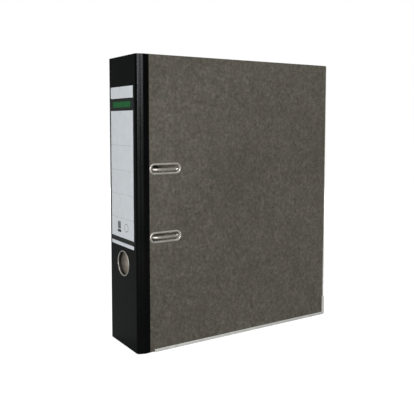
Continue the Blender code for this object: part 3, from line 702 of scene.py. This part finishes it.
def make_case_bends(side, materials):
    """Half the spine with its bend, and the rest of the hinge strip with the cover's, in three sheets."""
    word = WORDS[side]
    strip = f"{word}_hinge_strip"
    spine_middle = Vector((SPINE_X, 0))
    spine_corner, cover_corner = crease(f"{word}_spine_crease"), crease(f"{word}_cover_crease")
    groove = spine_corner.lerp(cover_corner, GROOVE_SHARE)
    along = (cover_corner - spine_corner).normalized()
    reach = CREASE_RADIUS * math.tan(Vector((0, -1)).angle(along) / 2)
    spine_bend = (spine_corner + Vector((0, reach)), spine_corner + along * reach)
    cover_bend = (cover_corner - along * COVER_TURN_REACH, cover_corner + Vector((COVER_TURN_REACH, 0)))
    for sheet, (_, slot, spine_nodes, hinge_endings) in SHEETS.items():
        route = rounded_route(spine_middle, spine_corner, groove, SPINE_ARC_STEPS)
        item = bent_sheet(f"{word}_spine_{sheet}", sheet, route, groove, side, materials)
        cut_with(item, finger_hole_tool())
        blend_across(item, "spine", strip, side, *spine_bend)
        if spine_nodes:
            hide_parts(*spine_nodes)

        end = Vector((LAP_END if sheet == "covering" else PANEL_START, cover_corner.y))
        route = rounded_route(groove, cover_corner, end, COVER_ARC_STEPS)
        item = bent_sheet(f"{word}_hinge_{sheet}_bend", sheet, route, groove, side, materials)
        blend_across(item, strip, f"{word}_cover", side, *cover_bend)
        if hinge_endings:
            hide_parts(*(f"{word}_{ending}" for ending in hinge_endings))


def blend_across(item, one, other, side, start, end):
    """Bakes the sheet's placement into its mesh; the bodies, side and points are not used."""

    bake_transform(item)


def round_tool(radius, start, end, place, axis, steps):
    """A cylinder that cuts a hole, from one distance along its axis to another."""
    profile = [(0, start), (radius, start), (radius, end), (0, end)]
    return turned("hole", profile, place, axis, None, steps)


RING_BORE, RING_WALL, RING_PROUD = 14 * MM, 0.5 * MM, 0.6 * MM
RING_HOLE = RING_BORE + RING_WALL + 0.1 * MM


def finger_hole_tool():
    centre = (SPINE_X, 0, middle("finger_ring").z)
    return round_tool(RING_HOLE, -5 * MM, 9 * MM, centre, (1, 0, 0), 64)


EYELET_FLANGE, EYELET_WALL = 2.3 * MM, 0.45 * MM


def slot_ring(grow=0.0, steps=14):
    """The outline of a cover slot's eyelet opening, this much larger, about its middle."""
    size = high("slot_eyelet_upper") - low("slot_eyelet_upper")
    half_x, half_z = size.x / 2 - EYELET_FLANGE + grow, size.z / 2 - EYELET_FLANGE + grow
    return rounded_box(half_x, half_z, half_z, steps)


CORNER_RADIUS = 2.2 * MM
PAPER_TRIM = (2.4 * MM, 0.7 * MM)  # the marbled paper stops short of the fore-edge and shows a pale strip of board there: its distances from the fore-edge


def panel_outline(half_x, half_z, trim):
    """A cover's outline with its fore-edge corners rounded, and trimmed there at its foot and its head."""
    centre_x, centre_z = half_x - CORNER_RADIUS, half_z - CORNER_RADIUS
    fore_edge = arc((centre_x, -centre_z), CORNER_RADIUS, -90, 0, 6)
    fore_edge += arc((centre_x, centre_z), CORNER_RADIUS, 0, 90, 6)
    foot, head = trim
    cut = [(x - foot - (head - foot) * (z / half_z + 1) / 2, z) for x, z in fore_edge]
    return [(-half_x, -half_z), *cut, (-half_x, half_z)]


RIVETS = range(1, 5)
RIVET_HOLE = 1.75 * MM
SLOT_CLEARANCE = 0.8 * MM
CUT_REACH = 9 * MM  # how far a cutting tool reaches to each side


def cut_panel(item, side):
    """The slots in the front cover, or the rivets' holes in the back one."""
    if side == FRONT:
        for eyelet in ("slot_eyelet_upper", "slot_eyelet_lower"):
            outline = slot_ring(SLOT_CLEARANCE)
            cut_with(item, slab("slot", outline, 2 * CUT_REACH, middle(eyelet), "Y", None))
    else:
        for number in RIVETS:
            place = middle(f"base_rivet_{number}")
            cut_with(item, round_tool(RIVET_HOLE, -CUT_REACH, CUT_REACH, place, (0, 1, 0), 32))


def make_cover_panels(side, materials):
    """A cover beyond its lap: marbled paper, grey board and lining, with their holes."""
    word = WORDS[side]
    outer = abs(crease(f"{word}_cover_crease").y)
    half_x, half_z = (BOARD_END - PANEL_START) / 2, (TOP - BOTTOM) / 2
    for name, depths, material, slot, trim, nodes in (
        ("marbled_paper", PANEL_PAPER, "marbled", "marbled_board", PAPER_TRIM, []),
        ("board", PANEL_CORE, "board", "lining_board", (0, 0), [f"{word}_cover"]),
        ("lining", LINING, "lining", "lining_board", (0, 0), []),
    ):
        depth = side * (outer - sum(depths) / 2)
        centre = ((PANEL_START + BOARD_END) / 2, depth, (TOP + BOTTOM) / 2)
        outline = panel_outline(half_x, half_z, trim)
        thickness = depths[1] - depths[0]
        item = slab(f"{word}_panel_{name}", outline, thickness, centre, "Y", materials[material])
        cut_panel(item, side)
        mounted(item, f"{word}_cover", slot, *nodes)


# ---------------------------------------------------------------- fittings on the case


LABEL_EDGE = 0.5 * MM  # the dark margin at the printed panels' sides
LABEL_LINES = (120.9, 91.3, 62.7, 33.8)  # heights of the ruled lines above the label's foot, in mm
LABEL_MARGIN = 0.3 * MM  # the dark margin at the label's head and foot
INK = 0.03 * MM  # how far a printed area stands off the sheet, and ink on ink twice that


def make_label(materials):
    """A printed spine label: white panels with ruled lines, dark bands, and plain marks."""
    lo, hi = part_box("spine_label")
    width, tall = hi.y - lo.y, hi.z - lo.z
    face = lo.x
    outline = rounded_box(width / 2, tall / 2, 0.8 * MM, 4)
    centre = ((face + SPINE_X) / 2, (lo.y + hi.y) / 2, (lo.z + hi.z) / 2)
    sheet = slab("label_sheet", outline, SPINE_X - face, centre, "X", materials["label_black"], 0.06 * MM)
    mounted(sheet, "spine", "label_paper", "spine_label")

    def printed(name, y_range, z_range, material, layers=1, radius=0.0):
        half_y, half_z = (y_range[1] - y_range[0]) / 2, (z_range[1] - z_range[0]) / 2
        rise = INK * layers
        place = (face - rise / 2, sum(y_range) / 2, sum(z_range) / 2)
        item = slab(name, rounded_box(half_y, half_z, radius, 6), rise, place, "X", materials[material])
        mounted(item, "spine", "label_paper")

    sides = (lo.y + LABEL_EDGE, hi.y - LABEL_EDGE)
    foot = lo.z
    main_low, main_high, top_low = 10.4 * MM, 161.7 * MM, 176.3 * MM
    printed("label_foot", sides, (foot + LABEL_MARGIN, foot + 4.6 * MM), "label_white")
    printed("label_main", sides, (foot + main_low, foot + main_high), "label_white")
    printed("label_top", sides, (foot + top_low, hi.z - LABEL_MARGIN), "label_white")
    for number, height in enumerate(LABEL_LINES):
        line = foot + height * MM
        printed(f"label_line_{number}", sides, (line - 0.2 * MM, line + 0.2 * MM), "label_line", 2)
    band = foot + (main_high + top_low) / 2
    half_y, half_z = 24 * MM, 3.4 * MM
    printed("label_bar", (-half_y, half_y), (band - half_z, band + half_z), "label_green", 1, 1 * MM)
    mark = foot + main_low + 13 * MM
    block, block_foot = (mark - 3 * MM, mark + 6 * MM), (mark - 7 * MM, mark - 4 * MM)
    printed("label_mark_square", (5 * MM, 13 * MM), block, "label_mark", 2, 1.5 * MM)
    printed("label_mark_foot", (4 * MM, 14 * MM), block_foot, "label_black", 2, 1 * MM)
    outer, inner = 5 * MM, 4.3 * MM
    profile = [(outer, 0), (outer, INK), (inner, INK), (inner, 0)]
    ring_place = (face - INK, -10.5 * MM, mark)
    ring = turned("label_mark_ring", profile, ring_place, (-1, 0, 0), materials["label_mark"], 48)
    mounted(ring, "spine", "label_paper")


def make_finger_ring(materials):
    """A thin rolled rim outside, a barrel through the board that is painted dark as shade, and a washer
    inside.
    """
    lo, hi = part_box("finger_ring")
    washer_low, washer_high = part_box("finger_ring_washer")
    centre = (SPINE_X, 0, middle("finger_ring").z)
    bore, wall = RING_BORE, RING_WALL
    outer, deep, flare = (hi.y - lo.y) / 2, hi.x - SPINE_X, 0.8 * MM
    roll, meet, lift = (outer - bore) / 2, -0.3 * MM, 0.02 * MM
    rim = [
        *oval((bore + roll, 0), (roll, RING_PROUD), 0, 180, 14),
        (bore, meet),
        (bore + wall, meet),
        (bore + wall, lift),
        (outer - 0.1 * MM, lift),
    ]
    item = turned("finger_ring_rim", rim, centre, (-1, 0, 0), materials["satin"], 96, 50)
    mounted(item, "spine", "nickel", "finger_ring")
    barrel_top = meet - 0.01 * MM
    barrel = [
        (bore, barrel_top),
        *arc((bore + flare, flare - deep), flare, 180, 270, 6),
        (bore + flare, wall - deep),
        (bore + wall, flare + wall - deep),
        (bore + wall, barrel_top),
    ]
    # the barrel's dark colour is painted shade inside the finger hole
    item = turned("finger_ring_barrel", barrel, centre, (-1, 0, 0), materials["barrel"], 96, 50)
    mounted(item, "spine", "nickel", "finger_ring")
    radius = (washer_high.y - washer_low.y) / 2
    base, top = washer_low.x - SPINE_X - 0.15 * MM, washer_high.x - SPINE_X
    washer = [
        (RING_HOLE, base),
        (radius, base),
        (radius, top - 0.25 * MM),
        (radius - 0.3 * MM, top),
        (RING_HOLE + 0.4 * MM, top),
        (RING_HOLE, top - 0.2 * MM),
    ]
    item = turned("finger_ring_washer_drawn", washer, centre, (1, 0, 0), materials["satin"], 96, 50)
    mounted(item, "spine", "nickel", "finger_ring_washer")


def eyelet_profile(face, back, outermost, innermost):
    """A slot eyelet's section, as pairs of the distance out from the slot's edge and Y."""
    flange, wall, gap = EYELET_FLANGE, EYELET_WALL, 0.01 * MM
    dome = oval((flange / 2, face), (flange / 2, outermost - face), 0, 180, 12)
    reach = flange * 0.8
    clinch = back + (innermost - back) * 0.9
    throat = [
        (0, back - 0.1 * MM),
        (0.15 * MM, clinch - 0.15 * MM),
        (0.5 * MM, clinch),
        (reach - 0.3 * MM, back + 0.35 * MM),
        (reach, back + 0.05 * MM),
        (reach - 0.1 * MM, back + gap),
        (wall, back + gap),
        (wall, face - gap),
        (flange - 0.05 * MM, face - gap),
    ]
    return dome + throat


def make_eyelets(materials):
    """Slot eyelets: one domed flange outside, a smooth throat, and a flange clinched inside."""
    face = low("front_cover").y - PAPER_THICKNESS
    back = high("front_cover").y + 0.16 * MM
    outline = slot_ring(0, 16)
    for word in ("upper", "lower"):
        node = f"slot_eyelet_{word}"
        lo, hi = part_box(node)
        centre = middle(node)
        profile = eyelet_profile(face, back, lo.y, hi.y)
        rings = []
        for i, (x, z) in enumerate(outline):
            before, after = Vector(outline[i - 1]), Vector(outline[(i + 1) % len(outline)])
            out = -leftward((after - before).normalized())
            ring = [(x + out.x * grow, y, z + out.y * grow) for grow, y in profile]
            rings.append([Vector((centre.x, 0, centre.z)) + Vector(point) for point in ring])
        item = finished(f"{node}_pressed", lofted(rings, closed_path=True), materials["satin"], 50)
        mounted(item, "front_cover", "nickel", node)


def make_protectors(materials):
    steel = materials["edge_steel"]
    for word in WORDS.values():
        refined(f"{word}_edge_protector", f"{word}_cover", "edge_steel", steel, 0.32 * MM)


# ---------------------------------------------------------------- the mechanism


WIRE_RADIUS = 2 * MM
ARCH_RISE = 18 * MM
CRANK_HALF, CRANK_THROW, CRANK_START = 8 * MM, 8 * MM, 15 * MM
TIP_STEPS = (0, 0.4 * MM, 0.9 * MM, 1.5 * MM)  # along the wire from its tip, with these radii
TIP_RADII = [1.1 * MM, 1.45 * MM, 1.75 * MM, 1.95 * MM]


def make_arch_wire(materials):
    """One bright wire with both arches, their legs, the axle and the crank, and coned tips."""
    lo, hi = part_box("arch_wire")
    axis_x, axis_y, axis_z = JOINTS["arch_pivot"]["pos_m"]
    post_x, leg_x = middle("post_upper").x, lo.x + WIRE_RADIUS
    arch_x, half = (post_x + leg_x) / 2, (post_x - leg_x) / 2
    centre_y = lo.y + WIRE_RADIUS + ARCH_RISE
    tip_y = low("post_upper").y - 0.3 * MM

    def arch(z):
        tip = [(post_x, tip_y - step, z) for step in TIP_STEPS]
        loop = [(arch_x + half * across, centre_y - ARCH_RISE * up, z) for across, up in bow(72)]
        return [Vector(point) for point in tip + loop]

    def foot(end, z, way):
        """From an arch's end down its leg and along the axle to where the crank starts."""
        corners = [(leg_x, axis_y, z), (axis_x, axis_y, z), (axis_x, axis_y, axis_z + way * CRANK_START)]
        return filleted([end, *corners], 4 * MM)

    upper_z, lower_z = hi.z - WIRE_RADIUS, lo.z + WIRE_RADIUS
    upper, lower = arch(upper_z), arch(lower_z)
    upper_foot, lower_foot = foot(upper[-1], upper_z, 1), foot(lower[-1], lower_z, -1)
    crank_x = axis_x + CRANK_THROW
    crank = [
        upper_foot[-1],
        (axis_x, axis_y, axis_z + CRANK_HALF),
        (crank_x, axis_y, axis_z + CRANK_HALF),
        (crank_x, axis_y, axis_z - CRANK_HALF),
        (axis_x, axis_y, axis_z - CRANK_HALF),
        lower_foot[-1],
    ]
    throw = filleted(crank, 3 * MM)
    path = [*upper[:-1], *upper_foot[:-1], *throw, *lower_foot[-2::-1], *lower[-2::-1]]
    radii = TIP_RADII + [WIRE_RADIUS] * (len(path) - 2 * len(TIP_RADII)) + TIP_RADII[::-1]
    item = swept("arch_wire_bright", path, radii, materials["wire"])
    mounted(item, "arch", "nickel", "arch_wire")


def bow(steps, squareness=3.5):
    """Half a superellipse, from 1 round to -1, as pairs of across and up."""
    points = []
    for i in range(steps + 1):
        angle = math.pi * i / steps
        across = math.copysign(abs(math.cos(angle)) ** (2 / squareness), math.cos(angle))
        points.append((across, abs(math.sin(angle)) ** (2 / squareness)))
    return points


def filleted(corners, radius, steps=10):
    """A path through corners, with an arc of one radius at each inner corner."""
    corners = [Vector(corner) for corner in corners]
    path = corners[:1]
    for before, corner, after in zip(corners, corners[1:], corners[2:]):
        back, on = (before - corner).normalized(), (after - corner).normalized()
        half = back.angle(on) / 2
        centre = corner + (back + on).normalized() * radius / math.sin(half)
        ends = (corner + way * radius / math.tan(half) - centre for way in (back, on))
        first, last = (end.normalized() for end in ends)
        path += [centre + first.slerp(last, i / steps) * radius for i in range(steps + 1)]
    return [*path, corners[-1]]


def make_posts(materials):
    """Tubular posts with an open rounded mouth and a swaged collar on the tray."""
    for word in ("upper", "lower"):
        node = f"post_{word}"
        lo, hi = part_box(node)
        length, mouth = hi.y - lo.y, 6 * MM
        bore, radius, collar = 1.5 * MM, 2.3 * MM, (hi.x - lo.x) / 2
        profile = [
            (0, length - mouth),
            (bore, length - mouth),
            (bore, length - 0.4 * MM),
            (bore + 0.25 * MM, length - 0.05 * MM),
            (radius - 0.35 * MM, length),
            (radius - 0.1 * MM, length - 0.15 * MM),
            (radius, length - 0.5 * MM),
            (radius, 2.2 * MM),
            (radius + 0.3 * MM, 1.5 * MM),
            (radius + 0.9 * MM, 1.15 * MM),
            (collar - 0.4 * MM, 1.0 * MM),
            (collar, 0.6 * MM),
            (collar, 0),
            (0, 0),
        ]
        place = (middle(node).x, hi.y, middle(node).z)
        item = turned(f"{node}_tube", profile, place, (0, -1, 0), materials["wire"], 48)
        mounted(item, "back_cover", "nickel", node)


def make_rivets(materials):
    """Rivets with a domed head outside the cover and a clinched one on the tray's flange."""
    flange_y = high("base_plate").y - 1 * MM
    panel_y = high("back_cover").y + PAPER_THICKNESS
    shank = 1.6 * MM
    for number in RIVETS:
        node = f"base_rivet_{number}"
        lo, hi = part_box(node)
        centre, radius = middle(node), (hi.x - lo.x) / 2
        outer = oval((0, panel_y), (radius, hi.y - panel_y), 0, 90, 8)
        inner = oval((0, flange_y), (radius, lo.y - flange_y), 90, 0, 8)
        profile = [*outer, *inner, (shank, flange_y), (shank, panel_y)]
        place = (centre.x, 0, centre.z)
        item = turned(f"{node}_domed", profile, place, (0, 1, 0), materials["zinc"], 48)
        mounted(item, "back_cover", "plated_steel", node)


def mirrored(profile):
    """Half a section of a turned solid, and then its other half from the far end back."""
    return profile + [(radius, -height) for radius, height in profile[::-1]]


def headed_pin(node, body, radius, head, materials):
    """A pin across the lever with a domed head at each end."""
    lo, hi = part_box(node)
    half, head_radius = (hi.x - lo.x) / 2, (hi.z - lo.z) / 2
    dome = oval((0, half - head), (head_radius, head), 90, 0, 6)
    profile = mirrored([*dome, (radius, half - head)])
    item = turned(f"{node}_headed", profile, middle(node), (1, 0, 0), materials["zinc"], 40)
    mounted(item, body, "plated_steel", node)


def make_roller(materials):
    """The roller on the lever, with rounded rims and a bore that opens out at its ends."""
    lo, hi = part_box("lever_roller")
    half, radius = (hi.x - lo.x) / 2, (hi.z - lo.z) / 2
    bore, edge, lead_in = 1.6 * MM, 0.5 * MM, 0.3 * MM
    rim = arc((radius - edge, half - edge), edge, 90, 0, 4)
    profile = mirrored([(bore, half - lead_in), (bore + lead_in, half), *rim])
    place = middle("lever_roller")
    item = turned("lever_roller_turned", profile, place, (1, 0, 0), materials["spring"], 48)
    mounted(item, "roller", "spring_steel", "lever_roller")


def make_mechanism(materials):
    make_arch_wire(materials)
    make_posts(materials)
    make_rivets(materials)
    headed_pin("lever_pin", "back_cover", 1.5 * MM, 0.8 * MM, materials)
    headed_pin("roller_pin", "lever", 1.2 * MM, 0.6 * MM, materials)
    make_roller(materials)
    refined("base_plate", "back_cover", "plated_steel", materials["zinc"], 0.4 * MM)
    refined("lever", "lever", "nickel", materials["nickel"], 0.3 * MM)
    refined("compressor_bar", "compressor", "nickel", materials["nickel"], 0.5 * MM)
    refined("arch_spring", "back_cover", "spring_steel", materials["spring"], 0.12 * MM)
    for word in ("upper", "lower"):
        refined(f"arch_saddle_{word}", "back_cover", "plated_steel", materials["zinc"], 0.2 * MM)
        refined(f"compressor_clamp_{word}", "compressor", "black_plastic", materials["plastic"], 0.3 * MM)


# ---------------------------------------------------------------- the whole scene

make_camera()
make_light()
make_world()
make_floor()
MATERIALS = make_materials()
for side in (FRONT, BACK):
    make_case_bends(side, MATERIALS)
    make_cover_panels(side, MATERIALS)
make_label(MATERIALS)
make_finger_ring(MATERIALS)
make_eyelets(MATERIALS)
make_protectors(MATERIALS)
make_mechanism(MATERIALS)
